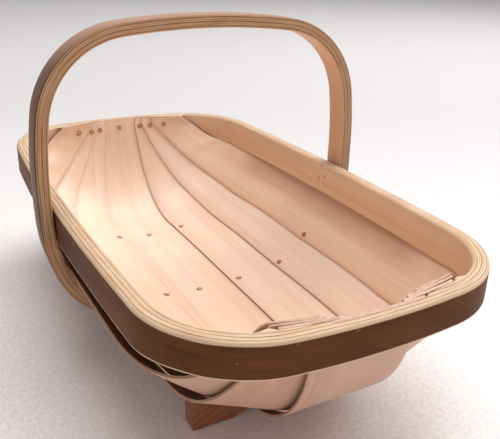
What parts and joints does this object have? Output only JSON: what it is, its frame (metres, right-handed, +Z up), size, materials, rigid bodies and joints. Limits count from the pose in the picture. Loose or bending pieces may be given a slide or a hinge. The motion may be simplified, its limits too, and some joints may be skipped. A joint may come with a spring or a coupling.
{
  "type": "garden trug",
  "caption": "Garden trug: a boat-shaped basket of thin overlapping birch plywood boards in a stained ply rim, with a fixed hoop handle passing under the hull and two arched wooden feet",
  "frame": {"origin": "on the ground under the middle of the basket: middle of the bounding box seen from above, at the height of the undersides of the feet", "axes": "+Z up; +X along the basket's length, toward the end that is nearest in the picture; +Y toward the side that is on the right in the picture"},
  "size_m": [0.56, 0.3272, 0.3117],
  "materials": {
    "birch_board": "satin",
    "rim_ply": "satin",
    "handle_ply": "satin",
    "foot_wood": "satin",
    "tack_copper": "satin",
    "pin_steel": "satin"
  },
  "bodies": {
    "root": {"board_centre": "birch_board", "board_left_1": "birch_board", "board_left_2": "birch_board", "board_left_3": "birch_board", "board_right_1": "birch_board", "board_right_2": "birch_board", "board_right_3": "birch_board", "foot_front": "foot_wood", "foot_rear": "foot_wood", "handle_hoop": "handle_ply", "pin_left_front": "pin_steel", "pin_left_rear": "pin_steel", "pin_right_front": "pin_steel", "pin_right_rear": "pin_steel", "rim_hoop": "rim_ply", "tack_foot_front_centre": "tack_copper", "tack_foot_front_left_1": "tack_copper", "tack_foot_front_right_1": "tack_copper", "tack_foot_rear_centre": "tack_copper", "tack_foot_rear_left_1": "tack_copper", "tack_foot_rear_right_1": "tack_copper", "tack_handle_centre": "tack_copper", "tack_handle_left_1": "tack_copper", "tack_handle_left_2": "tack_copper", "tack_handle_left_3": "tack_copper", "tack_handle_right_1": "tack_copper", "tack_handle_right_2": "tack_copper", "tack_handle_right_3": "tack_copper", "tack_rim_front_centre": "tack_copper", "tack_rim_front_left_1": "tack_copper", "tack_rim_front_left_2": "tack_copper", "tack_rim_front_left_3": "tack_copper", "tack_rim_front_right_1": "tack_copper", "tack_rim_front_right_2": "tack_copper", "tack_rim_front_right_3": "tack_copper", "tack_rim_rear_centre": "tack_copper", "tack_rim_rear_left_1": "tack_copper", "tack_rim_rear_left_2": "tack_copper", "tack_rim_rear_left_3": "tack_copper", "tack_rim_rear_right_1": "tack_copper", "tack_rim_rear_right_2": "tack_copper", "tack_rim_rear_right_3": "tack_copper"}
  },
  "joints": []
}
